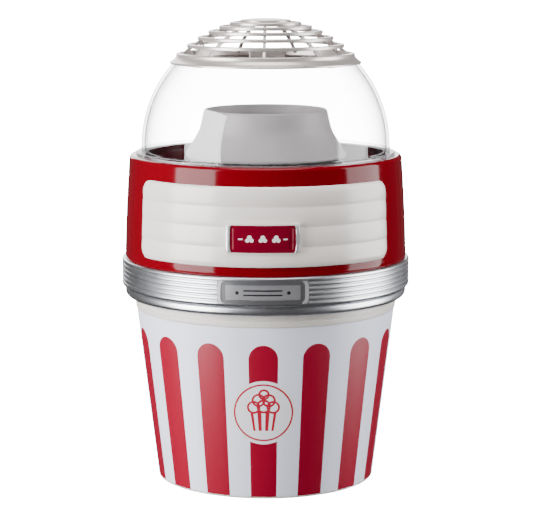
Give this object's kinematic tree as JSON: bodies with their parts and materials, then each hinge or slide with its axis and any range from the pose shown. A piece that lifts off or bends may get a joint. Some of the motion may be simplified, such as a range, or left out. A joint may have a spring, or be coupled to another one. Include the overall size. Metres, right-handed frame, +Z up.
{
  "type": "hot-air popcorn maker",
  "caption": "Retro hot-air popcorn maker: red shell with silver ribbed ring, cream fluted panel and clear vented dome, standing on a tapered striped bucket.",
  "frame": {"origin": "on the table under the middle of the bucket", "axes": "+Z up, front panel and badge face -Y"},
  "size_m": [0.22, 0.2238, 0.3514],
  "materials": {
    "cap_chrome": "bright chrome",
    "enamel_red": "red enamel",
    "surround_cream": "smooth cream",
    "base_black": "black moulded plastic",
    "screw_steel": "zinc-plated steel",
    "shell_red": "deep glossy red",
    "bucket_cream": "satin cream moulded plastic",
    "commutator_copper": "copper segments",
    "gland_black": "black moulded gland",
    "dome_clear": "clear moulded plastic",
    "duct_red": "dark red moulded plastic",
    "fan_white": "heat-proof white plastic",
    "panel_cream": "smooth cream",
    "can_steel": "galvanised sheet",
    "coil_wire": "resistance wire",
    "mica": "mica sheet",
    "armature_iron": "laminated iron",
    "brush_carbon": "carbon",
    "motor_steel": "plated sheet",
    "cap_black": "black moulded plastic",
    "magnet_grey": "ferrite",
    "plate_steel": "galvanised sheet",
    "shaft_steel": "ground steel",
    "name_dark": "dark brushed plate",
    "name_bright": "bright trim",
    "pod_black": "heat-proof black plastic",
    "chamber_alloy": "drawn aluminium",
    "collar_pale": "pale heat-proof plastic",
    "board_green": "circuit board",
    "diode_black": "black epoxy",
    "sleeve_print": "glossy printed wrap",
    "switch_black": "black moulded plastic",
    "rocker_black": "black moulded plastic",
    "terminal_brass": "tinned brass",
    "fuse_case": "small metal fuse",
    "thermostat_case": "stamped case",
    "ring_silver": "satin silver plating",
    "grille_satin": "warm satin metal"
  },
  "bodies": {
    "bucket_body": {"bucket": "bucket_cream", "stripe_sleeve": "sleeve_print"},
    "popping_unit": {"badge_caps": "cap_chrome", "badge_plate": "enamel_red", "badge_surround": "surround_cream", "base_plate": "base_black", "base_screws": "screw_steel", "body_shell": "shell_red", "cord_gland": "gland_black", "drop_duct": "duct_red", "front_panel": "panel_cream", "gland_nut": "gland_black", "heater_can": "can_steel", "heater_coil": "coil_wire", "heater_frame": "mica", "motor_brushes": "brush_carbon", "motor_can": "motor_steel", "motor_end_cap": "cap_black", "motor_magnets": "magnet_grey", "motor_plate": "plate_steel", "motor_plate_screws": "screw_steel", "motor_screws": "screw_steel", "name_plate": "name_dark", "name_plate_ends": "name_bright", "pod_cover": "pod_black", "pod_cover_screws": "screw_steel", "pod_housing": "pod_black", "popping_chamber": "chamber_alloy", "popping_collar": "collar_pale", "rectifier_board": "board_green", "rectifier_diodes": "diode_black", "switch_housing": "switch_black", "switch_terminals": "terminal_brass", "thermal_fuse": "fuse_case", "thermostat": "thermostat_case", "trim_ring": "ring_silver"},
    "dome_lid": {"dome_cover": "dome_clear", "vent_grille": "grille_satin"},
    "fan_rotor": {"fan_impeller": "fan_white", "motor_shaft": "shaft_steel", "motor_armature": "armature_iron", "commutator": "commutator_copper"},
    "rocker": {"switch_rocker": "rocker_black"}
  },
  "joints": [
    {"name": "unit_lift", "type": "slide", "parent": "bucket_body", "child": "popping_unit", "axis": [0, 0, 1], "range_m": [0, 0.12]},
    {"name": "dome_lift", "type": "slide", "parent": "popping_unit", "child": "dome_lid", "axis": [0, 0, 1], "range_m": [0, 0.09]},
    {"name": "fan_spin", "type": "hinge", "parent": "popping_unit", "child": "fan_rotor", "pos_m": [0, 0, 0.15], "axis": [0, 0, 1], "continuous": true},
    {"name": "switch_press", "type": "hinge", "parent": "popping_unit", "child": "rocker", "pos_m": [-0.017, 0.1071, 0.1925], "axis": [-1, 0, 0], "range_deg": [0, 18]}
  ]
}
